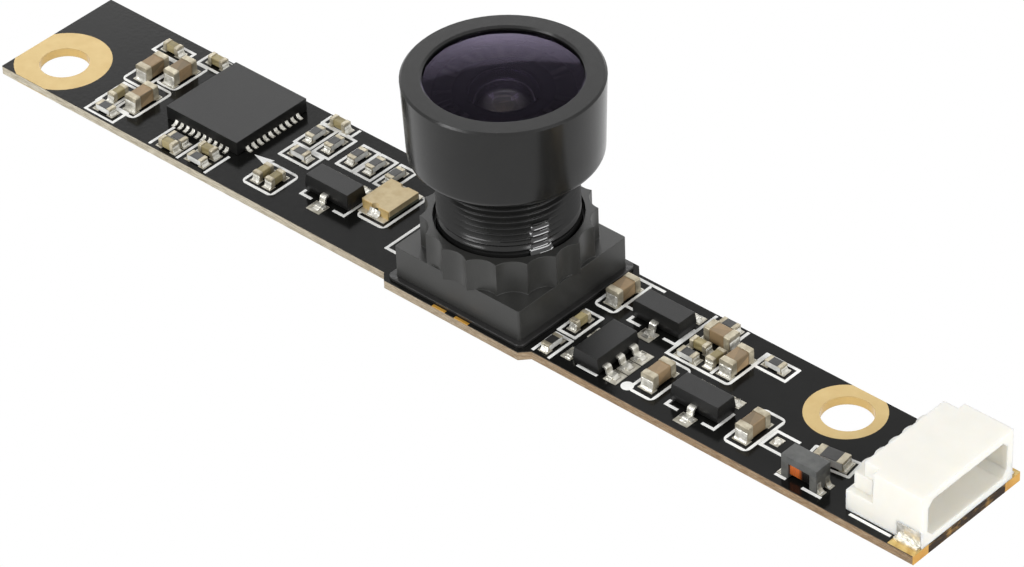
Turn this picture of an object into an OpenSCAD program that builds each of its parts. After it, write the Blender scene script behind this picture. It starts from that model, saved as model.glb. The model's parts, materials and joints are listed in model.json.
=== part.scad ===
// Fixed-focus camera module on a narrow circuit board, as fitted in a screen bezel.
// X runs along the board towards the cable connector, Y across it, Z up along the lens axis.
// The origin is at the middle of the board's underside.

/* [Board] */
// Length of the board
board_length = 60; // [54:0.5:90]
// Width of the board along most of its length
board_width = 7.8; // [7.8:0.1:12]
// Thickness of the board
board_thickness = 0.5; // [0.4:0.05:1.6]
// Distance of the lens axis from the middle of the board, towards the connector
lens_offset = 1.95; // [0:0.05:2]
// Board left bare beside the sealant of the lens holder, near and far side
shelf_margin = 0.2; // [0.1:0.05:1]
// Length of the slanted step where the board widens
step_run = 0.45; // [0.2:0.05:1]
// Thickness of the copper lands
land_t = 0.035; // [0.02:0.005:0.07]
// Thickness of the printed legend
ink_t = 0.02; // [0.01:0.005:0.03]
// Width of a printed line
ink_w = 0.16; // [0.1:0.01:0.16]

/* [Mounting holes] */
// Diameter of the two plated mounting holes
hole_d = 2.6; // [2:0.1:3]
// Outer diameter of the plated ring at the left hole
left_ring_d = 5.1; // [4:0.1:5.4]
// Outer diameter of the plated ring at the right hole
right_ring_d = 4.05; // [3.6:0.05:4.2]
// Distance of the left hole from the left end
left_hole_x = 2.3; // [2:0.1:2.4]
// Distance of the left hole from the near edge
left_hole_y = 2.25; // [2.1:0.05:2.6]
// Distance of the right hole from the connector end
right_hole_x = 8.75; // [8.7:0.05:9]
// Distance of the right hole from the far edge
right_hole_y = 1.8; // [1.7:0.1:2]
// Distance that the rings sit off their holes, towards the left end
ring_off_x = 0.15; // [0:0.05:0.15]
// Distance that the rings sit off their holes, towards the far edge
ring_off_y = 0.05; // [0:0.05:0.15]
// Thickness of the plated rings and corners
plating_t = 0.04; // [0.02:0.01:0.1]

/* [Lens holder] */
// Size of the holder's square foot along the board
foot_x = 8.1; // [7.9:0.1:8.3]
// Size of the holder's square foot across the board
foot_y = 7.7; // [7.5:0.1:8.1]
// Height of the square foot
foot_h = 1.9; // [1.7:0.1:2.6]
// Height of the fluted collar above the foot
collar_h = 1.8; // [1.4:0.1:2.6]
// Wall of the collar between the thread and the crest of its flutes
collar_wall = 0.75; // [0.6:0.05:0.8]
// Number of flutes round the collar
flutes = 18; // [12:1:24]
// Depth of a flute
flute_depth = 0.27; // [0.15:0.01:0.32]
// Wall of the foot round the sensor chamber
foot_wall = 0.95; // [0.7:0.05:1.1]
// Thickness of the deck between the sensor chamber and the lens thread
deck_t = 0.7; // [0.55:0.05:0.9]
// Width of the bead of sealant round the foot
bead_w = 0.33; // [0.1:0.01:0.4]
// Height of the bead of sealant
bead_h = 0.16; // [0.08:0.01:0.4]

/* [Lens] */
// Diameter of the lens thread
thread_d = 7; // [6.6:0.1:7.2]
// Gap between the lens thread and the collar
thread_gap = 0.05; // [0.02:0.01:0.1]
// Height of the bottom of the lens head above the board
head_base = 7.35; // [6.6:0.05:9]
// Height of the lens head
head_h = 4.5; // [4.2:0.1:6]
// Diameter of the lens head at its top
head_d = 9.85; // [9.4:0.05:11]
// Amount that the head's radius shrinks towards its bottom
head_taper = 0.15; // [0:0.01:0.3]
// Rounding of the head's bottom edge
head_round = 0.4; // [0.1:0.05:0.6]
// Clear opening in the front of the head
opening_d = 7.7; // [7.2:0.05:8.2]
// Depth of the pocket for the front lens
pocket_depth = 1.9; // [1.6:0.05:2.4]
// Depth of the front lens's edge below the rim
glass_recess = 0.2; // [0.1:0.05:0.9]
// Radius of the front lens's outer surface
front_radius = 20; // [9:0.5:30]
// Radius of the barrel's bore behind the front lens
bore_r = 2.7; // [2.4:0.05:2.9]
// Radial gap round each piece of glass
glass_gap = 0.03; // [0.01:0.01:0.1]

/* [Sensor] */
// Size of the image sensor along the board
sensor_x = 5.2; // [4:0.1:5.8]
// Size of the image sensor across the board
sensor_y = 4.8; // [3.6:0.1:5.4]
// Height of the image sensor's package
sensor_h = 0.45; // [0.3:0.05:0.5]
// Thickness of the image sensor's cover glass
cover_t = 0.4; // [0.2:0.05:0.45]
// Side of the square infrared filter
filter_s = 5.4; // [4.6:0.1:5.6]
// Thickness of the infrared filter
filter_t = 0.3; // [0.2:0.05:0.35]
// Side of the square window in the deck below the lens
window_s = 4.4; // [3.6:0.1:4.8]

/* [Controller chip] */
// Side of the square controller chip
chip_s = 5; // [4.8:0.1:5.2]
// Height of the controller chip
chip_h = 0.75; // [0.6:0.05:1]
// Leads on each side of the controller chip
chip_leads = 10; // [6:1:11]
// Distance between the controller chip's leads
chip_pitch = 0.4; // [0.35:0.01:0.42]

/* [Chip parts] */
// Length of a large chip capacitor
large_l = 1.6; // [1.5:0.05:1.65]
// Width of a large chip capacitor
large_w = 0.8; // [0.7:0.05:0.85]
// Height of a large chip capacitor
large_h = 0.8; // [0.7:0.05:0.9]
// Length of a small chip part
small_l = 1; // [0.95:0.01:1.05]
// Width of a small chip part
small_w = 0.5; // [0.45:0.01:0.52]
// Height of a small chip capacitor
small_h = 0.5; // [0.45:0.01:0.55]
// Height of a chip resistor
resistor_h = 0.35; // [0.3:0.01:0.4]
// Length of a chip part's end cap along the part, as a share of its length
cap_share = 0.22; // [0.15:0.01:0.3]
// Reach of the solder beyond a chip part's end
solder_reach = 0.17; // [0.1:0.01:0.18]
// Size of the resonator beside the lens, along the board
resonator_x = 1.85; // [1.7:0.05:1.9]
// Size of the resonator beside the lens, across the board
resonator_y = 2.2; // [2:0.05:2.3]
// Height of the resonator
resonator_h = 0.5; // [0.45:0.05:0.8]

/* [Moulded parts] */
// Length of a moulded part's body
mould_l = 2.9; // [2.8:0.05:3]
// Width of a three-lead body
transistor_w = 1.3; // [1.2:0.05:1.4]
// Width of the five-lead body
regulator_w = 1.6; // [1.5:0.05:1.7]
// Height of a moulded body
mould_h = 0.9; // [0.85:0.05:1.2]
// Distance between neighbouring lead places
lead_pitch = 0.95; // [0.9:0.01:1]
// Width of a lead
lead_w = 0.38; // [0.3:0.01:0.45]
// Thickness of a lead
lead_t = 0.12; // [0.1:0.01:0.16]
// Distance that a lead's foot reaches beyond the body
lead_reach = 0.62; // [0.56:0.01:0.66]

/* [Choke] */
// Length of the choke
choke_l = 2.1; // [2:0.05:2.2]
// Width of the choke
choke_w = 1; // [0.95:0.05:1.1]
// Height of the choke
choke_h = 1.25; // [1.1:0.05:1.4]
// Thickness of the choke's top plate
plate_t = 0.4; // [0.3:0.05:0.5]

/* [Connector] */
// Number of contacts
contacts = 5; // [3:1:5]
// Distance between contacts
contact_pitch = 1; // [0.9:0.05:1.05]
// Housing beyond the outer contacts on each side
side_margin = 1.3; // [1.2:0.05:1.35]
// Length of the connector housing along the board
housing_l = 4.45; // [4.1:0.05:4.5]
// Height of the connector housing
housing_h = 2.9; // [2.7:0.1:3.4]
// Height of the ribbed step at the housing's back
step_h = 2.05; // [1.9:0.05:2.3]
// Height of the ears at the housing's back corners
ear_h = 1.15; // [1:0.05:1.5]
// Wall of the connector's mouth
mouth_wall = 0.42; // [0.35:0.01:0.5]
// Depth of the connector's mouth
mouth_depth = 3.2; // [2.6:0.1:3.2]
// Distance of the mouth behind the board's end
end_gap = 0; // [0:0.05:0.5]

/* [Hidden] */
$fn = 48;

// Colours
mask_black = [0.08, 0.08, 0.09];
gold = [0.85, 0.68, 0.38];
tin = [0.8, 0.8, 0.78];
moulded_black = [0.12, 0.12, 0.13];
glass_blue = [0.25, 0.22, 0.4];
ceramic_brown = [0.55, 0.43, 0.33];

// A stand-in for clearance where a cut has to run past a face
past = 1;

// Board and lens holder
foot_gap_x = foot_x / 2 + bead_w;
wide_l = foot_x + 2 * bead_w;
wide_w = foot_y + 2 * (bead_w + shelf_margin);
step_rise = (wide_w - board_width) / 2;
left_end = -board_length / 2;
right_end = board_length / 2;
left_hole = [left_end + left_hole_x, left_hole_y - board_width / 2];
right_hole = [right_end - right_hole_x, board_width / 2 - right_hole_y];
ring_off = [-ring_off_x, ring_off_y];
part_seat = board_thickness + land_t;

// The parts spread out over the free board on each side of the lens holder. Their places were read
// where it had these lengths.
read_left = 27.57;
read_right = 23.67;
left_spread = (lens_offset - foot_gap_x - left_end) / read_left;
right_spread = (right_end - lens_offset - foot_gap_x) / read_right;

function from_left(x) = left_end + x * left_spread;
function from_right(x) = right_end - x * right_spread;

// Places of the parts: distance along the board, distance from its middle line, turn
large_places = [
    [from_left(7.88), 1.27, 90], [from_left(6.5), 0.63, 90], [from_left(7.97), -1.58, 90],
    [from_right(22.67), 2.1, 90], [from_right(16.7), 2.4, 0], [from_right(14.95), 1.42, 90],
    [from_right(17.11), -1.7, 90], [from_right(11.27), -1.75, 90]
];
framed_small_caps = [
    [from_left(5.97), 2.65, 0], [from_left(8.6), 3.28, 0], [from_right(22.8), -0.85, 90]
];
open_small_caps = [
    [from_left(6.65), -2, 90], [from_left(11.8), -3.43, 0], [from_left(13.7), -2.52, 0],
    [from_left(17.13), -2.08, 90], [from_left(17.97), -2.08, 90], [from_left(17.23), 3.35, 0],
    [from_right(17.13), 1.37, 0], [from_right(15.95), 1.1, 90]
];
small_cap_places = concat(framed_small_caps, open_small_caps);
framed_resistors = [
    [from_left(16.8), 2, 90], [from_left(18.1), 2, 90], [from_left(17.4), 0.31, 0],
    [from_left(19.72), 2, 90], [from_left(20.96), 2, 90], [from_left(22.31), 2, 90],
    [from_right(13.5), 2.58, 0], [from_left(7.03), -3.23, 0]
];
open_resistors = [
    [from_left(11.78), -2.78, 0], [from_left(13.72), -3.33, 0], [from_right(22.75), -2.93, 90],
    [from_right(17.1), 3.42, 0], [from_right(17.18), 0.5, 0]
];
small_resistor_places = concat(framed_resistors, open_resistors);
transistor_places = [
    [from_left(21.05), -0.97, 0], [from_right(19.78), 1.8, 0], [from_right(14.23), -1.85, 0]
];
resonator_place = transistor_places[0] + [mould_l / 2 + resonator_x / 2 + 0.175, 1.28, 0];
regulator_place = [from_right(20.25), -1.9, 90];
chip_place = [from_left(12.41), 0.8];
spare_place = [from_right(9.9), -1.61];

// Printed frames of the large parts: the part's place, how far the frame sits off it, its size
pair_place = (small_cap_places[6] + small_cap_places[7]) / 2;
large_frames = [
    [large_places[0], [-0.1, 0.18], [1.5, 2.6]], [large_places[1], [-0.17, 0.04], [1.6, 2.86]],
    [large_places[2], [-0.09, 0.15], [1.5, 2.92]], [large_places[3], [-0.08, 0.1], [1.4, 2.98]],
    [large_places[6], [0.01, 0.07], [1.58, 3.04]], [large_places[7], [0, 0.13], [1.54, 3.04]],
    [resonator_place, [0.22, -0.18], [1.95, 3.26]], [pair_place, [0, 0.05], [2.14, 2.15]]
];

// Lens stack, heights above the underside
lens_place = [lens_offset, 0];
thread_r = thread_d / 2;
collar_bore_r = thread_r + thread_gap;
collar_r = collar_bore_r + collar_wall;
lead_in_r = collar_bore_r + 0.13;
foot_top = board_thickness + foot_h;
collar_top = foot_top + collar_h;
deck_bottom = foot_top - deck_t;
head_bottom = board_thickness + head_base;
head_top = head_bottom + head_h;
barrel_bottom = foot_top + 0.2;
pocket_floor = head_top - pocket_depth;
rim_bevel = 0.1;
baffle_t = 0.28;
baffle_r = opening_d / 2 - 0.6;
bore_top = pocket_floor - baffle_t;
glass_r = bore_r - glass_gap;
second_t = 1.3;
stop_t = 0.2;
third_t = 1.6;
retainer_t = 0.55;
retainer_top = barrel_bottom + retainer_t;
stop_top = bore_top - second_t;
third_top = stop_top - stop_t;
third_bottom = third_top - third_t;
rear_t = 1.8;
rear_top = retainer_top + rear_t;

// Connector
housing_w = (contacts - 1) * contact_pitch + 2 * side_margin;
housing_front = right_end - end_gap;
housing_back = housing_front - housing_l;
rib_r = 0.74 * contact_pitch;
rib_depth = rib_r - sqrt(rib_r * rib_r - contact_pitch * contact_pitch / 4);
ribbed_w = contacts * contact_pitch + 0.8;
upper_in = 0.75;
wide_in = 1.6;
narrow_by = 0.45;
mouth_chamfer = 0.35;
corner_reach = board_width / 2 - (housing_w / 2 - 0.5);

// The marked resistor and the choke stand close behind the connector
marked_resistor_place = [housing_back - 2.6, -1.07, 8];
choke_place = [housing_back - 2.74, -2.82];
contact_w = 0.26;
contact_t = 0.15;
tail_l = 0.5;
tab_l = 1.35;
tab_inset = 0.1;
tab_t = 0.14;
tab_h = 0.9;
tab_foot = 0.42;

// Small building shapes

function arc(centre, r, from, to, steps) =
    [for (i = [0:steps]) let (a = from + (to - from) * i / steps)
        [centre[0] + r * cos(a), centre[1] + r * sin(a)]];

module centred_box(size, base = 0) {
    translate([-size[0] / 2, -size[1] / 2, base]) cube(size);
}

module round_rect(w, h, r) {
    square([w - 2 * r, h], center = true);
    square([w, h - 2 * r], center = true);
    for (x = [-1, 1], y = [-1, 1])
        translate([x * (w / 2 - r), y * (h / 2 - r)]) circle(r, $fn = 24);
}

module on_board(places, base = part_seat) {
    for (p = places) translate([p[0], p[1], base]) rotate(p[2]) children();
}

// Board

module board_outline() {
    near = [[left_end, -board_width / 2],
        [lens_offset - wide_l / 2 - step_run, -board_width / 2], [lens_offset - wide_l / 2, -wide_w / 2],
        [lens_offset + wide_l / 2, -wide_w / 2], [lens_offset + wide_l / 2 + step_run, -board_width / 2],
        [right_end, -board_width / 2]];
    far = [for (i = [len(near) - 1:-1:0]) [near[i][0], -near[i][1]]];
    polygon(concat(near, far));
}

module ring_pocket(centre, ring_d) {
    for (z = [-past, board_thickness - plating_t])
        translate([centre[0] + ring_off[0], centre[1] + ring_off[1], z])
            cylinder(d = ring_d, h = z < 0 ? past + plating_t : past, $fn = 96);
    translate([centre[0], centre[1], -past]) cylinder(d = hole_d, h = board_thickness + 2 * past);
}

module circuit_board() {
    color(mask_black) difference() {
        linear_extrude(board_thickness) board_outline();
        ring_pocket(left_hole, left_ring_d);
        ring_pocket(right_hole, right_ring_d);
        edge_pad_boxes(past);
        corner_plate_boxes(past);
    }
}

module mounting_ring(centre, ring_d) {
    intersection() {
        linear_extrude(board_thickness) board_outline();
        translate([centre[0], centre[1], 0]) difference() {
            for (z = [0, board_thickness - plating_t]) translate([ring_off[0], ring_off[1], z])
                cylinder(d = ring_d, h = plating_t, $fn = 96);
            translate([0, 0, -past]) cylinder(d = hole_d, h = board_thickness + 2 * past);
        }
    }
}

module mounting_rings() {
    color(gold) {
        mounting_ring(left_hole, left_ring_d);
        mounting_ring(right_hole, right_ring_d);
    }
}

// Two bare gold pads on the near shelf in front of the lens holder
module edge_pad_boxes(beyond = 0) {
    pad_w = 0.16;
    for (span = [[-1.2, -0.35], [0.25, 1.15]])
        translate([lens_offset + span[0], -wide_w / 2 - beyond, board_thickness - plating_t])
            cube([span[1] - span[0], pad_w + beyond, plating_t + beyond]);
}

module edge_pads() {
    color(gold) {
        edge_pad_boxes();
        corner_plate_boxes();
    }
}

// Plating round the board's end at the two corners beside the connector
module corner_plate_boxes(beyond = 0) {
    for (side = [0, 1]) mirror([0, side, 0])
        translate([right_end - plating_t, board_width / 2 - corner_reach, -beyond])
            cube([plating_t + beyond, corner_reach + beyond, board_thickness + 2 * beyond]);
}

// Printed legend

module ink_frame(size, place, r = 0.05) {
    translate([place[0], place[1], 0]) rotate(place[2]) difference() {
        round_rect(size[0], size[1], r);
        square([size[0] - 2 * ink_w, size[1] - 2 * ink_w], center = true);
    }
}

module ink_line(a, b) {
    w = ink_w / 2;
    translate([min(a[0], b[0]) - w, min(a[1], b[1]) - w])
        square([abs(a[0] - b[0]) + 2 * w, abs(a[1] - b[1]) + 2 * w]);
}

// Corner ticks beside the single-lead side of a three-lead part
module transistor_ticks() {
    edge = -transistor_w / 2 - 0.3;
    far = mould_l / 2 + 0.02;
    for (side = [-1, 1]) {
        ink_line([side * far, edge], [side * (far - 0.65), edge]);
        ink_line([side * far, edge], [side * far, side > 0 ? 0.45 : edge + 0.3]);
    }
}

module legend_lines() {
    for (p = concat(framed_small_caps, framed_resistors))
        ink_frame([small_l + 1.14, small_w + 0.72], p);
    for (f = large_frames) ink_frame(f[2], [f[0][0] + f[1][0], f[0][1] + f[1][1], 0], 0.35);
    // Frames cut off by the far and the near edge
    ink_frame([small_l + 1.14, 1.3], [from_left(17.2), 3.65, 0]);
    ink_frame([1.18, 2.14], [from_right(22.73), -3.1, 0]);
    // Frame that the capacitor by the left ring shares with the resistor below it
    ink_frame([1.18, 2.1], [from_left(6.48), -1.9, 0]);
    // Line that carries on from a large frame, and its link to the next part
    translate([large_places[3][0], large_places[3][1]]) {
        ink_line([-0.33, 1.52], [1.27, 1.52]);
        ink_line([0.67, -0.5], [1.17, -0.5]);
    }
    // Shared frame round the five parts beside the second transistor
    ink_line([from_right(18.2), 0.13], [from_right(18.2), board_width / 2]);
    ink_line([from_right(18.2), 0.13], [from_right(14.6), 0.13]);
    corner_r = 0.28;
    translate([from_right(14.6), 0.33]) intersection() {
        difference() {
            circle(corner_r, $fn = 32);
            circle(corner_r - ink_w, $fn = 32);
        }
        translate([0, -corner_r]) square(corner_r);
    }
    ink_line([from_right(14.4), 0.33 + ink_w / 2], [from_right(14.4), 3]);
    ink_line([from_right(15.57), 0.35], [from_right(15.57), 1.25]);
    ink_line([from_right(16.2), board_width / 2], [from_right(16.2), 3.15]);
    // Bars beside the pairs in front of the controller
    for (x = [10.73, 12.69, 14.66]) ink_line([from_left(x), -3.75], [from_left(x), -2.1]);
    // Corner of the lens holder's place
    corner_x = lens_offset - foot_gap_x - 1.65;
    ink_line([corner_x, -2.45], [corner_x, 0]);
    ink_line([corner_x, -2.45], [corner_x + 0.7, -2.45]);
    // Bar in front of the connector
    ink_line([from_right(4), -board_width / 2 + 0.45], [from_right(1.75), -board_width / 2 + 0.45]);
    // Frame of the empty place beside the choke
    for (y = [-0.62, 0.62]) translate(spare_place) ink_line([-0.5, y], [0.8, y]);
    translate(spare_place) ink_line([-0.5, -0.62], [-0.5, 0.62]);
    // First-lead mark of the controller, a small triangle
    translate([from_left(15.9), -1.1]) polygon([[-0.4, 0.02], [0.75, 0.28], [0.55, -0.28]]);
    // First-end dot of a large capacitor
    translate([from_right(17.97), -2.96]) circle(0.32);
    for (p = transistor_places) translate([p[0], p[1]]) rotate(p[2]) transistor_ticks();
    translate([regulator_place[0], regulator_place[1]])
        ink_line([-0.5, 0.05 - mould_l / 2], [0.6, 0.05 - mould_l / 2]);
    ink_frame([large_l + 1, large_w + 0.5], marked_resistor_place, 0.1);
    // Foot lines of the choke
    translate(choke_place) for (span = [[-1.25, -0.77], [0.35, 1.33]])
        ink_line([span[0], -choke_w / 2 - 0.1], [span[1], -choke_w / 2 - 0.1]);
}

// The legend stops short of the board's edges
module legend() {
    bare = 0.1;
    intersection() {
        legend_lines();
        square([board_length - 2 * bare, board_width - 2 * bare], center = true);
    }
}

// The legend keeps off the lands
module silkscreen() {
    color("white") difference() {
        translate([0, 0, board_thickness]) linear_extrude(ink_t) legend();
        translate([0, 0, (ink_t - land_t) / 2]) land_solids();
    }
}

// Chip capacitors: a ceramic block between two end caps

cap_skin = 0.03;

module bar(l, w, h, r) {
    rotate([90, 0, 90]) translate([0, h / 2, -l / 2]) linear_extrude(l) round_rect(w, h, r);
}

module ceramic_block(l, w, h) {
    translate([0, 0, cap_skin]) bar(l - 2 * cap_skin, w - 2 * cap_skin, h - 2 * cap_skin, 0.05);
}

module end_caps(l, w, h) {
    band = l * cap_share;
    for (side = [-1, 1]) difference() {
        translate([side * (l - band) / 2, 0, 0]) bar(band, w, h, 0.05 + cap_skin);
        ceramic_block(l, w, h);
    }
}

module large_capacitors() {
    color(ceramic_brown) on_board(large_places) ceramic_block(large_l, large_w, large_h);
}

module large_capacitor_ends() {
    color(tin) on_board(large_places) end_caps(large_l, large_w, large_h);
}

module small_capacitors() {
    color([0.6, 0.55, 0.4]) on_board(small_cap_places) ceramic_block(small_l, small_w, small_h);
}

module small_capacitor_ends() {
    color(tin) on_board(small_cap_places) end_caps(small_l, small_w, small_h);
}

// Resonator: a pale cover on a thin base, with a terminal up each end face, hollowed in its middle

terminal_t = 0.05;
hollow_r = 0.22;

module at_resonator() {
    translate([resonator_place[0], resonator_place[1], part_seat]) children();
}

module resonator_slab(base, top) {
    difference() {
        centred_box([resonator_x, resonator_y - 2 * terminal_t, top - base], base);
        resonator_hollows();
    }
}

module resonator_hollows() {
    for (side = [-1, 1]) translate([0, side * resonator_y / 2, -past]) cylinder(r = hollow_r, h = 3 * past);
}

module resonator_base() {
    color([0.3, 0.36, 0.28]) at_resonator() resonator_slab(0, resonator_h * 0.35);
}

module resonator_cover() {
    color([0.86, 0.78, 0.62]) at_resonator() resonator_slab(resonator_h * 0.35, resonator_h);
}

module resonator_ends() {
    color(gold) at_resonator() difference() {
        for (side = [-1, 1]) translate([0, side * (resonator_y - terminal_t) / 2, 0])
            centred_box([resonator_x - 0.1, terminal_t, resonator_h * 0.9]);
        resonator_hollows();
    }
}

// Chip resistors: an alumina block with a dark coat on top and an end cap folded round each end

coat_t = 0.03;

module resistor_block(l, w, h) {
    centred_box([l - 2 * cap_skin, w, h - coat_t - cap_skin], cap_skin);
}

module resistor_coat(l, w, h) {
    centred_box([l * (1 - 2 * cap_share), w * 0.94, coat_t], h - coat_t);
}

module resistor_caps(l, w, h) {
    band = l * cap_share;
    for (side = [-1, 1]) difference() {
        translate([side * (l - band) / 2, 0, 0]) centred_box([band, w, h]);
        resistor_block(l, w, h);
    }
}

module resistors() {
    color([0.78, 0.78, 0.76]) {
        on_board(small_resistor_places) resistor_block(small_l, small_w, resistor_h);
        on_board([marked_resistor_place]) resistor_block(large_l, large_w, resistor_h + 0.1);
    }
}

module resistor_coats() {
    color(moulded_black) {
        on_board(small_resistor_places) resistor_coat(small_l, small_w, resistor_h);
        on_board([marked_resistor_place]) resistor_coat(large_l, large_w, resistor_h + 0.1);
    }
}

module resistor_ends() {
    color(tin) {
        on_board(small_resistor_places) resistor_caps(small_l, small_w, resistor_h);
        on_board([marked_resistor_place]) resistor_caps(large_l, large_w, resistor_h + 0.1);
    }
}

// Lands and solder

land_inset = 0.2;
land_beyond = 0.04;

module chip_lands(l, w) {
    for (side = [-1, 1])
        translate([side * (l / 2 + (solder_reach + land_beyond - land_inset) / 2), 0, 0])
            centred_box([land_inset + solder_reach + land_beyond, w + 0.08, land_t]);
}

// Concave wedge of solder from the land up an end face
module fillet_wedge(reach, height, w) {
    rotate([90, 0, 0]) translate([0, 0, -w / 2]) linear_extrude(w)
        polygon(concat([[0, 0]], [for (i = [0:5]) let (a = 90 * i / 5)
            [reach * (1 - sin(a)), height * (1 - cos(a))]]));
}

module chip_fillets(l, w, h) {
    for (side = [0, 180]) rotate(side) translate([l / 2, 0, 0])
        fillet_wedge(solder_reach, h * 0.7, w * 0.9);
}

function lead_ends(body_w) = body_w / 2 + lead_reach;
foot_length = 0.3;
near_land = 0.4;
far_land = 0.24;

// Land under a lead, from behind its foot to so far in front of it
module lead_land(beyond) {
    behind = foot_length + 0.08;
    translate([-behind, -lead_w / 2 - 0.25, 0]) cube([behind + beyond, lead_w + 0.5, land_t]);
}

// Solder that slopes down from a lead's foot to the land, in front and on both sides
module lead_solder() {
    fillet_wedge(0.24, lead_t, lead_w);
    for (side = [-1, 1])
        translate([-foot_length / 2, side * lead_w / 2, 0]) rotate(side * 90)
            fillet_wedge(0.22, lead_t, foot_length);
}

lead_pair = [-lead_pitch, lead_pitch];
lead_row = [-lead_pitch, 0, lead_pitch];

module near_leads(row, body_w) {
    for (x = row) translate([x, -lead_ends(body_w), 0]) rotate(-90) children();
}

module far_leads(row, body_w) {
    for (x = row) translate([x, lead_ends(body_w), 0]) rotate(90) children();
}

module three_lead_spread() {
    near_leads([0], transistor_w) children();
    far_leads(lead_pair, transistor_w) children();
}

module five_lead_spread() {
    near_leads(lead_row, regulator_w) children();
    far_leads(lead_pair, regulator_w) children();
}

module chip_spread() {
    for (turn = [0:90:270], i = [0:chip_leads - 1]) rotate(turn)
        translate([chip_s / 2, (i - (chip_leads - 1) / 2) * chip_pitch, 0]) children();
}

chip_lead_w = 0.2;
chip_lead_l = 0.35;
chip_land_out = 0.32;

module chip_pad_lands() {
    chip_spread() translate([(chip_land_out - chip_lead_l) / 2, 0, 0])
        centred_box([chip_land_out + chip_lead_l, chip_lead_w, land_t]);
    centred_box([chip_s - 1.6, chip_s - 1.6, land_t]);
}

module tab_lands() {
    land_l = tab_l + tab_inset + end_gap + 0.05;
    for (side = [0, 1]) mirror([0, side, 0])
        translate([right_end - land_l, board_width / 2 - corner_reach, 0])
            cube([land_l, corner_reach, land_t]);
}

module contact_spread() {
    for (i = [0:contacts - 1])
        translate([housing_back, (i - (contacts - 1) / 2) * contact_pitch, 0]) children();
}

module land_solids() {
    translate([0, 0, board_thickness]) {
        on_board(large_places, 0) chip_lands(large_l, large_w);
        on_board(concat(small_cap_places, small_resistor_places), 0) chip_lands(small_l, small_w);
        on_board([marked_resistor_place], 0) chip_lands(large_l, large_w);
        translate([resonator_place[0], resonator_place[1]]) for (side = [-1, 1])
            translate([0, side * resonator_y / 2, 0]) centred_box([resonator_x - 0.1, 0.7, land_t]);
        on_board(transistor_places, 0) {
            near_leads([0], transistor_w) lead_land(near_land);
            far_leads(lead_pair, transistor_w) lead_land(far_land);
        }
        on_board([regulator_place], 0) {
            near_leads(lead_row, regulator_w) lead_land(near_land);
            far_leads(lead_pair, regulator_w) lead_land(far_land);
        }
        translate(chip_place) chip_pad_lands();
        translate(choke_place) for (x = [-1, 1], y = [-1, 1])
            translate([x * choke_l / 2, y * (choke_w / 2 - 0.2), 0]) centred_box([0.6, 0.36, land_t]);
        // Empty place beside the choke
        translate(spare_place) centred_box([0.5, 0.6, land_t]);
        tab_lands();
        contact_spread() translate([-tail_l / 2 - 0.05, 0, 0]) centred_box([tail_l + 0.2, 0.5, land_t]);
    }
}

module solder_lands() {
    color(gold) land_solids();
}

module solder_fillets() {
    color(tin) {
        on_board(large_places) chip_fillets(large_l, large_w, large_h);
        on_board(small_cap_places) chip_fillets(small_l, small_w, small_h);
        on_board(small_resistor_places) chip_fillets(small_l, small_w, resistor_h);
        on_board([marked_resistor_place]) chip_fillets(large_l, large_w, resistor_h + 0.1);
        at_resonator() for (side = [-1, 1]) translate([0, side * resonator_y / 2, 0])
            rotate(side * 90) fillet_wedge(0.3, resonator_h * 0.6, 0.7);
        on_board(transistor_places) three_lead_spread() lead_solder();
        on_board([regulator_place]) five_lead_spread() lead_solder();
        translate([chip_place[0], chip_place[1], part_seat])
            chip_spread() fillet_wedge(chip_land_out - 0.02, 0.2, chip_lead_w);
        // Solder mound on the empty place
        translate([spare_place[0], spare_place[1], part_seat])
            cylinder(r1 = 0.24, r2 = 0.12, h = 0.1, $fn = 24);
    }
}

// Controller chip: flat moulded body with leads set flush in its lower edges

module chip_lead_boxes() {
    chip_spread() translate([-chip_lead_l / 2, 0, 0]) centred_box([chip_lead_l, chip_lead_w, 0.2]);
}

module chip_pad_box() {
    centred_box([chip_s - 1.6, chip_s - 1.6, 0.2]);
}

module controller_chip() {
    color(moulded_black) translate([chip_place[0], chip_place[1], part_seat]) difference() {
        centred_box([chip_s, chip_s, chip_h]);
        chip_lead_boxes();
        chip_pad_box();
    }
}

module controller_leads() {
    color(tin) translate([chip_place[0], chip_place[1], part_seat]) {
        chip_lead_boxes();
        chip_pad_box();
    }
}

// Moulded parts with gull-wing leads

bend_r = 0.12;
lead_inside = 0.25;
stand_off = 0.08;
exit_z = stand_off + 0.38 * mould_h;

// Side outline of a lead, x outwards from its foot's end, z up from the land
module lead_profile() {
    start = -lead_reach - lead_inside;
    x1 = -lead_reach + 0.1;
    lean = 12;
    c1 = [x1, exit_z - bend_r];
    c2z = lead_t / 2 + bend_r;
    drop = exit_z - c2z - 2 * bend_r * (1 - sin(lean)) + bend_r;
    c2 = [x1 + 2 * bend_r * cos(lean) + drop * tan(lean), c2z];
    outer = bend_r + lead_t / 2;
    inner = bend_r - lead_t / 2;
    polygon(concat(
        [[start, exit_z + lead_t / 2]], arc(c1, outer, 90, lean, 4),
        arc(c2, inner, 180 + lean, 270, 4), [[0, lead_t], [0, 0]],
        arc(c2, outer, 270, 180 + lean, 4), arc(c1, inner, lean, 90, 4),
        [[start, exit_z - lead_t / 2]]));
}

module gull_lead() {
    rotate([90, 0, 0]) translate([0, 0, -lead_w / 2]) linear_extrude(lead_w) lead_profile();
}

function drafted(w, top_cut, foot_cut) = let (z = exit_z, h = stand_off + mould_h)
    [[-w / 2 + foot_cut, stand_off], [w / 2 - foot_cut, stand_off], [w / 2, z - lead_t / 2],
     [w / 2, z + lead_t / 2], [w / 2 - top_cut, h], [-w / 2 + top_cut, h],
     [-w / 2, z + lead_t / 2], [-w / 2, z - lead_t / 2]];

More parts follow.
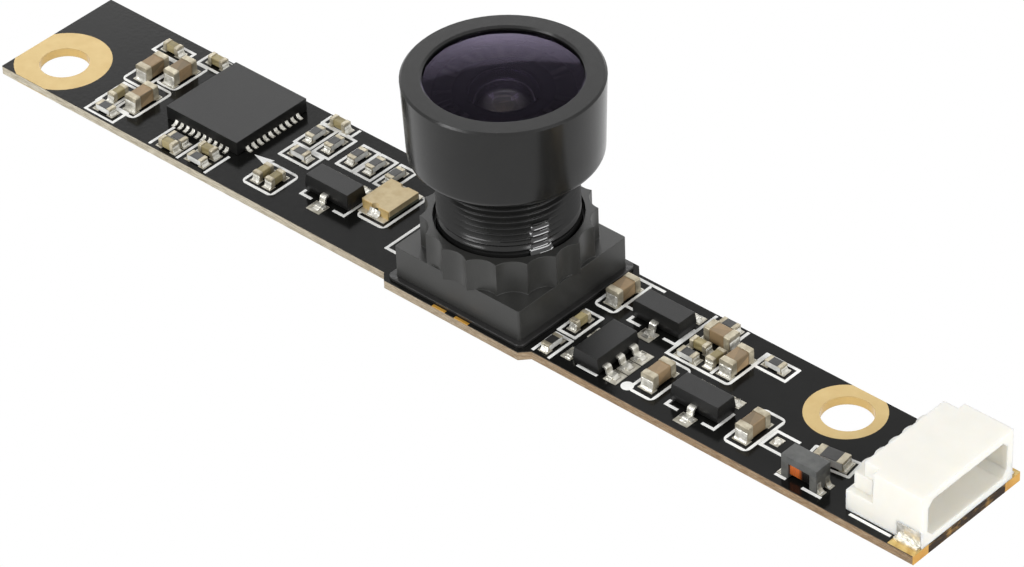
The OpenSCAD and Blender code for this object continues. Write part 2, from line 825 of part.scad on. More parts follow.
module moulded_body(w) {
    intersection() {
        rotate([90, 0, 0]) translate([0, 0, -w]) linear_extrude(2 * w)
            polygon(drafted(mould_l, 0.03, 0.03));
        rotate([90, 0, 90]) translate([0, 0, -mould_l]) linear_extrude(2 * mould_l)
            polygon(drafted(w, 0.07, 0.05));
    }
}

module transistor_bodies() {
    color(moulded_black) on_board(transistor_places) difference() {
        moulded_body(transistor_w);
        three_lead_spread() gull_lead();
    }
}

module transistor_leads() {
    color(tin) on_board(transistor_places) three_lead_spread() gull_lead();
}

module regulator_body() {
    color(moulded_black) on_board([regulator_place]) difference() {
        moulded_body(regulator_w);
        five_lead_spread() gull_lead();
    }
}

module regulator_leads() {
    color(tin) on_board([regulator_place]) five_lead_spread() gull_lead();
}

// Choke: a spool with a flange at each end, copper turns between them and a plate on top

flange_l = 0.42;
spool_w = 0.5;
spool_z = 0.3;
turn_t = 0.16;

module at_choke() {
    translate([choke_place[0], choke_place[1], part_seat]) children();
}

module choke_core() {
    color([0.3, 0.3, 0.31]) at_choke() difference() {
        union() {
            for (side = [-1, 1]) translate([side * (choke_l - flange_l) / 2, 0, 0])
                centred_box([flange_l, choke_w, choke_h - plate_t]);
            centred_box([choke_l - flange_l, spool_w, choke_h - plate_t - spool_z - 0.2], spool_z);
        }
        choke_end_boxes();
    }
}

module choke_plate() {
    color([0.42, 0.43, 0.44]) at_choke() centred_box([choke_l, choke_w, plate_t], choke_h - plate_t);
}

module choke_winding() {
    turns = 6;
    space = choke_l - 2 * flange_l - 0.06;
    spool_h = choke_h - plate_t - spool_z - 0.2;
    color([0.8, 0.4, 0.2]) at_choke() for (i = [0:turns - 1])
        translate([-space / 2 + (i + 0.5) * space / turns, 0, 0]) difference() {
            translate([0, 0, spool_z - turn_t])
                bar(space / turns, spool_w + 2 * turn_t, spool_h + 2 * turn_t, 0.12);
            centred_box([space, spool_w, spool_h], spool_z);
        }
}

module choke_end_boxes() {
    for (x = [-1, 1], y = [-1, 1])
        translate([x * (choke_l / 2 - 0.1), y * (choke_w / 2 - 0.2), 0]) centred_box([0.2, 0.3, 0.5]);
}

module choke_ends() {
    color(tin) at_choke() {
        choke_end_boxes();
        for (side = [0, 180]) rotate(side) for (y = [-1, 1])
            translate([choke_l / 2, y * (choke_w / 2 - 0.2), 0]) fillet_wedge(0.24, 0.45, 0.3);
    }
}

// Lens holder: square foot, sensor chamber, filter seat, and a fluted collar round the thread

module fluted_outline() {
    chord = 2 * collar_r * sin(180 / flutes);
    sagitta = flute_depth;
    flute_r = chord * chord / (8 * sagitta) + sagitta / 2;
    difference() {
        circle(collar_r, $fn = 120);
        for (i = [0:flutes - 1]) rotate((i + 0.5) * 360 / flutes + flute_turn)
            translate([collar_r * cos(180 / flutes) - sagitta + flute_r, 0]) circle(flute_r, $fn = 40);
    }
}

// Turn of the flutes that puts one square to the near right corner of the foot
flute_turn = -46 - 180 / flutes;

module lens_holder() {
    color([0.2, 0.2, 0.21]) translate(lens_place) difference() {
        union() {
            translate([0, 0, board_thickness]) linear_extrude(foot_h) round_rect(foot_x, foot_y, 0.12);
            translate([0, 0, foot_top]) linear_extrude(collar_h) fluted_outline();
        }
        translate([0, 0, board_thickness]) centred_box([foot_x - 2 * foot_wall, foot_y - 2 * foot_wall,
            foot_h - deck_t], 0);
        centred_box([filter_s + 0.1, filter_s + 0.1, filter_t], deck_bottom);
        centred_box([window_s, window_s, foot_h + past], deck_bottom);
        translate([0, 0, foot_top]) cylinder(r = collar_bore_r, h = collar_h + past, $fn = 96);
        translate([0, 0, collar_top - 0.6]) cylinder(r = lead_in_r, h = past, $fn = 96);
    }
}

module holder_sealant() {
    color([0.05, 0.05, 0.05]) translate([lens_place[0], lens_place[1], board_thickness])
        linear_extrude(bead_h) difference() {
            round_rect(foot_x + 2 * bead_w, foot_y + 2 * bead_w, 0.35);
            round_rect(foot_x, foot_y, 0.12);
        }
}

module image_sensor() {
    color([0.16, 0.17, 0.2]) translate([lens_place[0], lens_place[1], board_thickness])
        centred_box([sensor_x, sensor_y, sensor_h]);
}

module sensor_glass() {
    color(glass_blue) translate([lens_place[0], lens_place[1], board_thickness + sensor_h])
        centred_box([sensor_x, sensor_y, cover_t]);
}

module infrared_filter() {
    color([0.4, 0.6, 0.7]) translate([lens_place[0], lens_place[1], deck_bottom])
        centred_box([filter_s, filter_s, filter_t]);
}

// Lens barrel, glass and rings, all turned about the lens axis

module barrel_outline() {
    top_r = head_d / 2;
    low_r = top_r - head_taper;
    polygon(concat(
        [[0, barrel_bottom], [thread_r - 0.15, barrel_bottom], [thread_r, barrel_bottom + 0.15],
         [thread_r, head_bottom]],
        arc([low_r - head_round, head_bottom + head_round], head_round, -90, 0, 6),
        [[top_r, head_top - rim_bevel], [top_r - rim_bevel, head_top], [0, head_top]]));
}

module lens_barrel() {
    color([0.13, 0.13, 0.14]) translate(lens_place) difference() {
        rotate_extrude($fn = 120) barrel_outline();
        translate([0, 0, pocket_floor]) cylinder(d = opening_d, h = pocket_depth + past, $fn = 96);
        translate([0, 0, head_top - rim_bevel])
            cylinder(d1 = opening_d, d2 = opening_d + 4 * rim_bevel, h = 2 * rim_bevel, $fn = 96);
        translate([0, 0, bore_top]) cylinder(r = baffle_r + glass_gap, h = baffle_t + past, $fn = 96);
        translate([0, 0, barrel_bottom - past]) cylinder(r = bore_r, h = head_top - barrel_bottom, $fn = 96);
    }
}

// A lens between two spherical faces; a negative radius makes that face hollow
module lens_element(r, bottom, top, top_radius, bottom_radius) {
    difference() {
        intersection() {
            translate([0, 0, bottom]) cylinder(r = r, h = top - bottom, $fn = 96);
            translate([0, 0, top_radius > 0 ? top - top_radius : bottom])
                sphere(r = abs(top_radius), $fn = 96);
        }
        if (bottom_radius < 0) {
            rise = 0.45 * (top - bottom);
            translate([0, 0, bottom + rise + bottom_radius]) sphere(r = -bottom_radius, $fn = 96);
        }
    }
}

module front_lens() {
    r = opening_d / 2 - glass_gap;
    apex = head_top - glass_recess + front_radius - sqrt(front_radius * front_radius - r * r);
    color(glass_blue) translate(lens_place)
        lens_element(r, pocket_floor, apex, front_radius, -2);
}

module light_baffle() {
    color("black") translate([lens_place[0], lens_place[1], bore_top]) difference() {
        cylinder(r = baffle_r, h = baffle_t, $fn = 96);
        translate([0, 0, -past]) cylinder(r = 1.75, h = 2 * past, $fn = 64);
        translate([0, 0, baffle_t / 2]) cylinder(r1 = 1.75, r2 = 2.4, h = baffle_t / 2 + 0.01, $fn = 64);
    }
}

module second_lens() {
    color(glass_blue) translate(lens_place) lens_element(glass_r, stop_top, bore_top, 6, -4);
}

module aperture_stop() {
    color("black") translate([lens_place[0], lens_place[1], third_top]) difference() {
        cylinder(r = glass_r, h = stop_t, $fn = 96);
        translate([0, 0, -past]) cylinder(r = 0.85, h = 3 * past, $fn = 64);
    }
}

module third_lens() {
    color(glass_blue) translate(lens_place) lens_element(glass_r, third_bottom, third_top, 5.2, 1);
}

module lens_spacer() {
    color("black") translate([lens_place[0], lens_place[1], rear_top]) difference() {
        cylinder(r = glass_r, h = third_bottom - rear_top, $fn = 96);
        translate([0, 0, -past]) cylinder(r = glass_r - 0.55, h = third_bottom - rear_top + 2 * past, $fn = 96);
    }
}

module rear_lens() {
    color(glass_blue) translate(lens_place) lens_element(glass_r, retainer_top, rear_top, 4.6, -7);
}

module rear_retainer() {
    color("black") translate([lens_place[0], lens_place[1], barrel_bottom]) difference() {
        cylinder(r = bore_r, h = retainer_t, $fn = 96);
        translate([0, 0, -past]) cylinder(r = bore_r - 0.6, h = retainer_t + 2 * past, $fn = 96);
    }
}

// Streak of adhesive that locks the thread, down its side and into the gap at the collar
module thread_adhesive() {
    glue_t = 0.05;
    color([0.03, 0.03, 0.03]) translate(lens_place) intersection() {
        translate([0, 0, collar_top - 0.6]) difference() {
            union() {
                cylinder(r = lead_in_r, h = 0.6, $fn = 96);
                cylinder(r = thread_r + glue_t, h = 2.4, $fn = 96);
            }
            translate([0, 0, -past]) cylinder(r = thread_r, h = 2.4 + 2 * past, $fn = 96);
        }
        translate([0, 0, board_thickness]) linear_extrude(head_base)
            polygon([[0, 0], [6, -3.6], [6, -1.3]]);
    }
}

// Connector: side-entry housing open towards the board's end

// Side outline of a contact, x from the housing's back, z up from its land
module contact_profile() {
    reach = housing_l - 1.1;
    polygon([[-tail_l, 0], [0.35, 0], [0.35, 1.2], [reach, 1.2], [reach, 1.2 + contact_t],
        [0.35 - contact_t, 1.2 + contact_t], [0.35 - contact_t, contact_t], [-tail_l, contact_t]]);
}

module contact_solids(base) {
    translate([0, 0, base]) contact_spread()
        rotate([90, 0, 0]) translate([0, 0, -contact_w / 2]) linear_extrude(contact_w) contact_profile();
}

module housing_box(from, w, h) {
    translate([housing_back + from, -w / 2, 0]) cube([housing_l - from, w, h]);
}

// Low ears, a ribbed step over the contacts, then the full height, narrow first and then wide
module connector_block() {
    housing_box(0.03, housing_w, ear_h);
    housing_box(rib_depth, ribbed_w, step_h);
    housing_box(upper_in, housing_w - 2 * narrow_by, housing_h);
    housing_box(wide_in, housing_w, housing_h);
    contact_spread() intersection() {
        translate([rib_r, 0, 0.5]) cylinder(r = rib_r, h = step_h - 0.5);
        translate([0, -contact_pitch / 2, 0]) cube([rib_depth + 0.2, contact_pitch, housing_h]);
    }
}

module connector_mouth() {
    mouth_w = housing_w - 2 * mouth_wall;
    mouth_h = housing_h - 2 * mouth_wall;
    c = mouth_chamfer;
    translate([housing_front - mouth_depth, 0, part_seat + housing_h / 2]) rotate([90, 0, 90])
        linear_extrude(mouth_depth + past)
            polygon([for (q = [[-1, -1], [1, -1], [1, 1], [-1, 1]], k = [0, 1])
                let (on_side = k == (q[0] * q[1] > 0 ? 0 : 1))
                    [q[0] * (mouth_w / 2 - (on_side ? 0 : c)), q[1] * (mouth_h / 2 - (on_side ? c : 0))]]);
}

module connector_housing() {
    color("ivory") difference() {
        translate([0, 0, part_seat]) connector_block();
        connector_mouth();
        contact_solids(part_seat);
        tab_solids();
    }
}

module connector_contacts() {
    color(gold) contact_solids(part_seat);
}

module tab_solids() {
    for (side = [-1, 1])
        translate([housing_front - tab_l - tab_inset, 0, part_seat]) mirror([0, side < 0 ? 1 : 0, 0]) {
            translate([0, housing_w / 2 - tab_t, 0]) cube([tab_l, tab_foot, tab_t]);
            translate([0, housing_w / 2 - tab_t, 0]) cube([tab_l, tab_t, tab_h]);
        }
}

module connector_tabs() {
    color(tin) tab_solids();
}

circuit_board();
mounting_rings();
edge_pads();
silkscreen();
solder_lands();
solder_fillets();
controller_chip();
controller_leads();
lens_holder();
holder_sealant();
image_sensor();
sensor_glass();
infrared_filter();
lens_barrel();
front_lens();
light_baffle();
second_lens();
aperture_stop();
third_lens();
lens_spacer();
rear_lens();
rear_retainer();
thread_adhesive();
connector_housing();
connector_contacts();
connector_tabs();
large_capacitors();
large_capacitor_ends();
small_capacitors();
small_capacitor_ends();
resonator_cover();
resonator_base();
resonator_ends();
resistors();
resistor_coats();
resistor_ends();
transistor_bodies();
transistor_leads();
regulator_body();
regulator_leads();
choke_core();
choke_plate();
choke_winding();
choke_ends();
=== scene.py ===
import json
import math

import bmesh
import bpy
from mathutils import Matrix, Quaternion, Vector


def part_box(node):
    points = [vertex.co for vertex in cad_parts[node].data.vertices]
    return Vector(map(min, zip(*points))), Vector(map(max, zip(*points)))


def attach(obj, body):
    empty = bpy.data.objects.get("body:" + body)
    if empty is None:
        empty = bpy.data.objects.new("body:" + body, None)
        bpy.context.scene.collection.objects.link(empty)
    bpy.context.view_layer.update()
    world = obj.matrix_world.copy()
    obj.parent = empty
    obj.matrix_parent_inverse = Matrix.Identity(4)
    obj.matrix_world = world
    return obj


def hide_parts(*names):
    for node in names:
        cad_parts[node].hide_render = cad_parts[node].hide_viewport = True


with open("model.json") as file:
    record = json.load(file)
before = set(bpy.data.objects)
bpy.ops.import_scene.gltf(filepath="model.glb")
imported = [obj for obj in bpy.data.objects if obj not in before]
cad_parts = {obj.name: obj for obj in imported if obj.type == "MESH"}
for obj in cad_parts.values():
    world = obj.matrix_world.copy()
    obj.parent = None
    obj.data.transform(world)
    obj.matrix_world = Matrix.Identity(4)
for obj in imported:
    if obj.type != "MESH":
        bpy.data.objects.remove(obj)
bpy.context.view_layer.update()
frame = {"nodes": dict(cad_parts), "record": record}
NODES = frame["nodes"]
MM = 0.001

# Places that the looks and the thread need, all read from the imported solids, in metres
barrel_lo, barrel_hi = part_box("lens_barrel")
board_lo, board_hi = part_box("circuit_board")
film_lo, film_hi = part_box("thread_adhesive")
sensor_lo, sensor_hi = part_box("image_sensor")
winding_lo, winding_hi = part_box("choke_winding")
LENS = Vector(((barrel_lo.x + barrel_hi.x) / 2, (barrel_lo.y + barrel_hi.y) / 2, 0))
COLLAR_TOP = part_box("lens_holder")[1].z
FRONT_LENS_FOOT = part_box("front_lens")[0].z
CONNECTOR_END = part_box("connector_housing")[1].x
BORES = [m for m in frame["record"]["mounts"] if m["kind"] == "bore"]

# Sizes that only the looks have, in millimetres
HOLE_PLATING = 0.05          # walls this near a hole's radius are gold
EDGE_LIP = 0.05              # height of the mask's dark edge on the cut sides
END_SHADE = 0.02              # the board's cut side this near its connector end is painted a dark brown mottle, standing for shade
BARE_LANDS = 1.7             # lands this near the connector's end are gold, without tin
LENS_PAINT = 0.03            # height of the black paint on the front lens's underside
CLEAR_R = 1.66               # the clear middle of the front lens
PAINTED_REFLECTION_R = 1.85           # the light baffle is painted paler inside this, as a painted reflection of the inner lenses
ACTIVE_HALF = (1.8, 1.35)    # half the length and width of the sensor's active area
ACTIVE_ENDS = 1.2            # the area is orange further out than this along its length
WIRE = 0.11                  # from turn to turn of the choke's winding


# Materials

class Tree:
    """Adds nodes to one node tree."""

    def __init__(self, tree):
        self.tree = tree
        tree.nodes.clear()

    def add(self, kind, **settings):
        node = self.tree.nodes.new(kind)
        for key, value in settings.items():
            setattr(node, key, value)
        return node

    def link(self, a, b):
        self.tree.links.new(a, b)

    def put(self, socket, value):
        if isinstance(value, bpy.types.NodeSocket):
            self.link(value, socket)
        else:
            socket.default_value = value

    def math(self, operation, a, b=0.0):
        node = self.add("ShaderNodeMath", operation=operation)
        self.put(node.inputs[0], a)
        self.put(node.inputs[1], b)
        return node.outputs[0]

    def ramp(self, fac, low, high, start=0.0, end=1.0):
        """Maps fac from low..high to start..end."""
        node = self.add("ShaderNodeMapRange", clamp=True)
        self.put(node.inputs["Value"], fac)
        node.inputs["From Min"].default_value = low
        node.inputs["From Max"].default_value = high
        node.inputs["To Min"].default_value = start
        node.inputs["To Max"].default_value = end
        return node.outputs["Result"]

    def blend(self, fac, a, b):
        node = self.add("ShaderNodeMixShader")
        self.put(node.inputs[0], fac)
        self.link(a, node.inputs[1])
        self.link(b, node.inputs[2])
        return node.outputs[0]

    def glow(self, kind, strength):
        """A white Emission or Background."""
        node = self.add(kind)
        node.inputs["Color"].default_value = (1, 1, 1, 1)
        node.inputs["Strength"].default_value = strength
        return node.outputs[0]

    def seen(self):
        """1 for what the camera sees directly, in a gloss or through glass."""
        path = self.add("ShaderNodeLightPath")
        seen = path.outputs["Is Camera Ray"]
        for ray in ("Is Glossy Ray", "Is Transmission Ray"):
            seen = self.math("MAXIMUM", seen, path.outputs[ray])
        return seen


class Shader(Tree):
    """One material, whose patterns are laid in the part's own millimetres."""

    def __init__(self, name):
        self.material = bpy.data.materials.new(name)
        self.material.use_nodes = True
        super().__init__(self.material.node_tree)
        self.output = self.add("ShaderNodeOutputMaterial")
        coord = self.add("ShaderNodeTexCoord")
        scale = self.add("ShaderNodeVectorMath", operation="SCALE")
        self.link(coord.outputs["Object"], scale.inputs[0])
        scale.inputs["Scale"].default_value = 1 / MM
        self.mm = scale.outputs[0]

    def axis(self, letter):
        """The distance from the frame's origin along one axis, in millimetres."""
        node = self.add("ShaderNodeSeparateXYZ")
        self.link(self.mm, node.inputs[0])
        return node.outputs[letter]

    def stretched(self, x, y, z):
        node = self.add("ShaderNodeVectorMath", operation="MULTIPLY")
        self.link(self.mm, node.inputs[0])
        node.inputs[1].default_value = (x, y, z)
        return node.outputs[0]

    def noise(self, scale, detail=3.0, vector=None, rough=0.5):
        node = self.add("ShaderNodeTexNoise")
        self.link(vector or self.mm, node.inputs["Vector"])
        node.inputs["Scale"].default_value = scale
        node.inputs["Detail"].default_value = detail
        node.inputs["Roughness"].default_value = rough
        return node.outputs["Fac"]

    def mix(self, fac, a, b):
        node = self.add("ShaderNodeMix", data_type="RGBA")
        self.put(node.inputs["Factor"], fac)
        self.put(node.inputs[6], a)
        self.put(node.inputs[7], b)
        return node.outputs[2]

    def mottle(self, noise, dark, light, low=0.3, high=0.7):
        """A colour that wanders between dark and light."""
        return self.mix(self.ramp(noise, low, high), dark, light)

    def varied(self, base, spread, noise):
        """A value from base up to base + spread."""
        return self.math("ADD", base, self.math("MULTIPLY", noise, spread))

    def near_axis(self, centre, radius_mm):
        """1 inside a vertical cylinder round centre."""
        dx = self.math("SUBTRACT", self.axis("X"), centre.x / MM)
        dy = self.math("SUBTRACT", self.axis("Y"), centre.y / MM)
        square = self.math("ADD", self.math("MULTIPLY", dx, dx), self.math("MULTIPLY", dy, dy))
        return self.math("LESS_THAN", square, radius_mm ** 2)

    def island(self):
        return self.add("ShaderNodeNewGeometry").outputs["Random Per Island"]

    def upright(self):
        """1 on upright walls, 0 on flat faces."""
        node = self.add("ShaderNodeSeparateXYZ")
        self.link(self.add("ShaderNodeNewGeometry").outputs["True Normal"], node.inputs[0])
        return self.math("LESS_THAN", self.math("ABSOLUTE", node.outputs["Z"]), 0.5)

    def bevel(self, radius_mm):
        node = self.add("ShaderNodeBevel", samples=4)
        node.inputs["Radius"].default_value = radius_mm * MM
        return node.outputs[0]

    def bump(self, height, distance_mm, strength=1.0, normal=None):
        node = self.add("ShaderNodeBump")
        node.inputs["Strength"].default_value = strength
        node.inputs["Distance"].default_value = distance_mm * MM
        self.put(node.inputs["Height"], height)
        if normal is not None:
            self.link(normal, node.inputs["Normal"])
        return node.outputs[0]

    def principled(self, colour, roughness, metallic=0.0, normal=None, ior=1.5, subsurface=0.0):
        node = self.add("ShaderNodeBsdfPrincipled")
        self.put(node.inputs["Base Color"], colour)
        self.put(node.inputs["Roughness"], roughness)
        self.put(node.inputs["Metallic"], metallic)
        node.inputs["IOR"].default_value = ior
        if subsurface:
            node.inputs["Subsurface Weight"].default_value = subsurface
            node.inputs["Subsurface Radius"].default_value = (1, 0.9, 0.75)
            node.inputs["Subsurface Scale"].default_value = 0.5 * MM
        if normal is not None:
            self.link(normal, node.inputs["Normal"])
        return node.outputs[0]

    def end(self, shader):
        self.link(shader, self.output.inputs["Surface"])
        return self.material


def rgb(r, g, b):
    """A colour given in the 0..255 values that a screen shows."""
    def lin(v):
        v /= 255
        return v / 12.92 if v <= 0.04045 else ((v + 0.055) / 1.055) ** 2.4
    return (lin(r), lin(g), lin(b), 1)


def laminate_colour(s):
    """Cut edges: woven glass in resin, pale at the far left and browner towards the connector."""
    streak = s.noise(1.0, 4, s.stretched(1.6, 1.6, 22), 0.6)
    fibre = s.noise(1.0, 2, s.stretched(4, 4, 60), 0.7)
    pale = s.mottle(streak, rgb(146, 137, 118), rgb(202, 195, 178), 0.35, 0.65)
    brown = s.mottle(streak, rgb(98, 77, 54), rgb(160, 132, 100))
    colour = s.mix(s.ramp(s.axis("X"), -12, 10), pale, brown)
    colour = s.mix(s.math("MULTIPLY", s.ramp(fibre, 0.5, 0.7), 0.4), colour, rgb(222, 212, 190))
    lip = s.math("GREATER_THAN", s.axis("Z"), board_hi.z / MM - EDGE_LIP)
    colour = s.mix(lip, colour, rgb(40, 38, 36))
    # Painted shade: the cut side at the connector end is a dark brown to tan mottle that stands for the
    # shade there
    end_shade_noise = s.noise(1.0, 4, s.stretched(1, 1.1, 3), 0.6)
    end = s.math("GREATER_THAN", s.axis("X"), board_hi.x / MM - END_SHADE)
    return s.mix(end, colour, s.mottle(end_shade_noise, rgb(44, 32, 22), rgb(158, 122, 66), 0.5, 0.68))


def board_material():
    """Black mask on the faces, laminate on the cut sides, gold on the walls of the two holes."""
    s = Shader("board_mask")
    side = s.upright()
    mask = s.mix(s.noise(0.9, 4), rgb(16, 16, 15), rgb(23, 23, 22))
    colour = s.mix(side, mask, laminate_colour(s))
    walls = [s.near_axis(Vector(m["pos_m"]), m["dims"]["r_mm"] + HOLE_PLATING) for m in BORES]
    plated = walls[0]
    for wall in walls[1:]:
        plated = s.math("MAXIMUM", plated, wall)
    plated = s.math("MULTIPLY", plated, side)
    colour = s.mix(plated, colour, rgb(214, 182, 118))
    rough = s.varied(0.1, 0.07, s.noise(2.2, 3))
    rough = s.varied(rough, 0.4, s.math("SUBTRACT", side, plated))
    weave = s.bump(s.noise(5.5, 3), 0.012, 0.2)
    return s.end(s.principled(colour, rough, s.math("MULTIPLY", plated, 0.4), weave, ior=1.25))


def gold_material(name, dark, light):
    s = Shader(name)
    colour = s.mottle(s.noise(1.4, 4), dark, light)
    fine = s.bump(s.noise(16, 3), 0.004, 0.3, s.bevel(0.02))
    return s.end(s.principled(colour, s.varied(0.3, 0.14, s.noise(5, 3)), 0.4, fine))


def lands_material():
    """Tinned under the parts, bare gold at the connector's corners."""
    s = Shader("lands")
    bare = s.math("GREATER_THAN", s.axis("X"), CONNECTOR_END / MM - BARE_LANDS)
    tinned = s.mottle(s.noise(3, 4), rgb(168, 163, 148), rgb(214, 210, 198), 0.35, 0.65)
    bare_gold = s.mottle(s.noise(2, 4), rgb(176, 142, 72), rgb(212, 186, 122), 0.35, 0.65)
    lumps = s.bump(s.noise(7, 3), 0.03, 0.5, s.bevel(0.03))
    return s.end(s.principled(s.mix(bare, tinned, bare_gold), 0.42, 0.5, lumps))


def solder_material():
    s = Shader("solder_tin")
    colour = s.mottle(s.noise(4, 4), rgb(180, 177, 166), rgb(236, 234, 226))
    lumps = s.bump(s.noise(4.5, 3), 0.05, 0.6, s.bevel(0.04))
    return s.end(s.principled(colour, s.varied(0.14, 0.16, s.noise(6, 2)), 0.7, lumps))


def end_cap_material():
    s = Shader("end_cap_tin")
    colour = s.mottle(s.noise(2.5, 3), rgb(158, 148, 126), rgb(202, 194, 172))
    grain = s.bump(s.noise(8, 2), 0.01, 0.4, s.bevel(0.07))
    return s.end(s.principled(colour, s.varied(0.26, 0.14, s.noise(4, 2)), 0.55, grain))


def ink_material():
    s = Shader("legend_ink")
    colour = s.mottle(s.noise(6, 4), rgb(246, 246, 243), rgb(253, 253, 251))
    return s.end(s.principled(colour, 0.55, 0.0, s.bump(s.noise(20, 3), 0.006, 0.5)))


def moulded_material():
    s = Shader("moulded_black")
    grain = s.noise(22, 4, None, 0.6)
    colour = s.mix(s.noise(1.2, 3), rgb(18, 18, 18), rgb(26, 26, 25))
    fine = s.bump(grain, 0.012, 0.5, s.bevel(0.05))
    return s.end(s.principled(colour, s.varied(0.32, 0.1, grain), 0.0, fine, ior=1.36))


def holder_material():
    s = Shader("holder_plastic")
    colour = s.mix(s.noise(0.7, 3), rgb(38, 38, 37), rgb(48, 48, 46))
    fine = s.bump(s.noise(16, 4, None, 0.6), 0.01, 0.35, s.bevel(0.05))
    return s.end(s.principled(colour, 0.4, 0.0, fine))


def barrel_material():
    """Smooth black plastic with faint turned lines round it."""
    s = Shader("barrel_plastic")
    turned = s.noise(1, 3, s.stretched(0.4, 0.4, 26), 0.6)
    colour = s.mix(s.noise(1.0, 3), rgb(20, 20, 20), rgb(27, 27, 26))
    fine = s.bump(s.varied(s.noise(20, 3), 0.5, turned), 0.006, 0.3, s.bevel(0.03))
    return s.end(s.principled(colour, s.varied(0.15, 0.07, s.noise(3, 3)), 0.0, fine, ior=1.39))


def sealant_material():
    s = Shader("sealant")
    colour = s.mix(s.noise(2, 3), rgb(26, 26, 26), rgb(46, 45, 44))
    return s.end(s.principled(colour, 0.3, 0.0, s.bump(s.noise(2.2, 3), 0.06, 0.6, s.bevel(0.08))))


def glass_material(name, tint, coat_tint, coat_ior, painted=False):
    """Coated glass, whose gloss follows the viewing angle. Where it is painted, its underside is
    black outside the clear middle."""
    s = Shader(name)
    glass = s.add("ShaderNodeBsdfRefraction")
    glass.inputs["Color"].default_value = tint
    glass.inputs["IOR"].default_value = 1.5
    s.put(glass.inputs["Roughness"], s.math("MULTIPLY", s.noise(1.5, 2), 0.02))
    passing = s.add("ShaderNodeBsdfTransparent")
    passing.inputs["Color"].default_value = tint
    path = s.add("ShaderNodeLightPath")
    light = s.math("MAXIMUM", path.outputs["Is Shadow Ray"], path.outputs["Is Diffuse Ray"])
    body = s.blend(light, glass.outputs[0], passing.outputs[0])
    gloss = s.add("ShaderNodeBsdfGlossy")
    gloss.inputs["Color"].default_value = coat_tint
    gloss.inputs["Roughness"].default_value = 0.06
    fresnel = s.add("ShaderNodeFresnel")
    fresnel.inputs["IOR"].default_value = coat_ior
    coated = s.blend(fresnel.outputs[0], body, gloss.outputs[0])
    if not painted:
        return s.end(coated)
    low = s.math("LESS_THAN", s.axis("Z"), FRONT_LENS_FOOT / MM + LENS_PAINT)
    outside = s.math("SUBTRACT", 1, s.near_axis(LENS, CLEAR_R))
    paint = s.principled(s.mix(s.noise(4, 2), rgb(5, 5, 7), rgb(10, 9, 13)), 0.6, ior=1.02)
    return s.end(s.blend(s.math("MULTIPLY", low, outside), coated, paint))


def baffle_material(name, painted_reflection_r=0):
    """Black inside the lens, painted paler inside painted_reflection_r as a painted reflection of the inner
    lenses.
    """
    s = Shader(name)
    colour = s.mix(s.noise(3, 3), rgb(14, 14, 16), rgb(24, 24, 26))
    if painted_reflection_r:
        # Painted reflection: this paler grey stands for the inner lenses' reflections seen in the pupil
        colour = s.mix(s.near_axis(LENS, painted_reflection_r), colour, rgb(74, 74, 76))
    return s.end(s.principled(colour, 0.5, 0.0, s.bump(s.noise(20, 2), 0.002, 0.2)))


def sensor_material():
    """Dark package with the active area in its middle, orange at the area's two ends."""
    s = Shader("sensor_package")
    middle = (sensor_lo + sensor_hi) / 2 / MM
    across = s.math("ABSOLUTE", s.math("SUBTRACT", s.axis("X"), middle.x))
    along = s.math("ABSOLUTE", s.math("SUBTRACT", s.axis("Y"), middle.y))
    field = s.math("MULTIPLY", s.math("LESS_THAN", across, ACTIVE_HALF[0]),
                   s.math("LESS_THAN", along, ACTIVE_HALF[1]))
    ends = s.math("MULTIPLY", field, s.math("GREATER_THAN", across, ACTIVE_ENDS))
    colour = s.mix(field, rgb(60, 62, 70), rgb(60, 92, 78))
    colour = s.mix(ends, colour, rgb(236, 120, 60))
    return s.end(s.principled(colour, 0.25, 0.0, s.bump(s.noise(20, 2), 0.004, 0.3)))


def nylon_material():
    s = Shader("connector_nylon")
    colour = s.mix(s.noise(0.8, 3), rgb(232, 230, 222), rgb(240, 238, 231))
    fine = s.bump(s.noise(12, 3), 0.01, 0.35, s.bevel(0.08))
    return s.end(s.principled(colour, 0.42, 0.0, fine, subsurface=0.8))


def capacitor_material(name, dark, light):
    """Fired ceramic, a shade of its own on each capacitor."""
    s = Shader(name)
    shade = s.mix(s.island(), dark, light)
    spots = s.math("MULTIPLY", s.ramp(s.noise(3.0, 4), 0.3, 0.7), 0.3)
    grain = s.bump(s.noise(18, 3), 0.01, 0.5, s.bevel(0.05))
    return s.end(s.principled(s.mix(spots, shade, dark), 0.5, 0.0, grain))


def ceramic_material(name, dark, light, roughness=0.5, bevel=0.04):
    s = Shader(name)
    colour = s.mottle(s.noise(2.5, 4), dark, light)
    grain = s.bump(s.noise(18, 3), 0.01, 0.5, s.bevel(bevel))
    return s.end(s.principled(colour, roughness, 0.0, grain))


def winding_material():
    """Copper turns, with painted shadow darkening the half nearer the connector."""
    s = Shader("copper_wire")
    along = s.ramp(s.axis("X"), winding_lo.x / MM, winding_hi.x / MM)
    wires = s.math("SINE", s.math("MULTIPLY", s.axis("X"), 2 * math.pi / WIRE))
    # Painted shadow: the turns fade from copper to near black towards the connector
    colour = s.mottle(along, rgb(220, 112, 48), rgb(20, 14, 12), 0.42, 0.62)
    return s.end(s.principled(colour, 0.3, 0.5, s.bump(wires, 0.02, 0.6)))


def adhesive_material():
    s = Shader("adhesive")
    colour = s.mix(s.noise(4, 3), rgb(10, 10, 10), rgb(18, 18, 17))
    return s.end(s.principled(colour, 0.04, 0.0, s.bump(s.noise(3, 2), 0.02, 0.3), ior=1.7))


gold = gold_material("gold_plating", rgb(197, 169, 111), rgb(204, 178, 121))
solder = solder_material()
end_cap = end_cap_material()
moulded = moulded_material()
baffle = baffle_material("baffle_black")
inner_glass = glass_material("inner_lens_glass", rgb(238, 236, 228), rgb(178, 190, 168), 1.55)
clear_glass = glass_material("filter_glass", rgb(230, 240, 236), rgb(220, 120, 100), 1.4)

